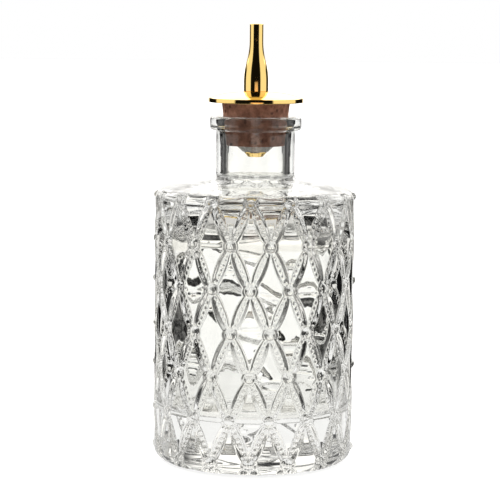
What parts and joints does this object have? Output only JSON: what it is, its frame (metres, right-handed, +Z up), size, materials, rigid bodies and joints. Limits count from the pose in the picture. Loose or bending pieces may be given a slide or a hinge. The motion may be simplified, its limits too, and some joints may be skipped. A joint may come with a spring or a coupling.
{
  "type": "bitters bottle",
  "caption": "Pressed glass bottle with a diamond and pearl pattern, and a tapered cork stopper that carries a gilt flange and pouring spout.",
  "frame": {"origin": "centre of the base, on the surface that the bottle stands on", "axes": "+Z up along the axis of the bottle; the front of the pattern faces -Y"},
  "size_m": [0.062, 0.062, 0.133],
  "materials": {
    "clear_glass": "clear pressed glass, polished",
    "cork": "natural agglomerated cork, matt with dark pores",
    "gilt_metal": "polished gold plating",
    "clear_plastic": "pale translucent plastic"
  },
  "bodies": {
    "bottle": {"glass_bottle": "clear_glass"},
    "stopper": {"cork_stopper": "cork", "spout_flange": "gilt_metal", "pour_spout": "gilt_metal", "shank_tube": "gilt_metal", "sealing_washer": "clear_plastic", "retaining_collar": "gilt_metal"}
  },
  "joints": [
    {"name": "stopper_lift", "type": "slide", "parent": "bottle", "child": "stopper", "axis": [0, 0, 1], "range_m": [0, 0.03]}
  ]
}
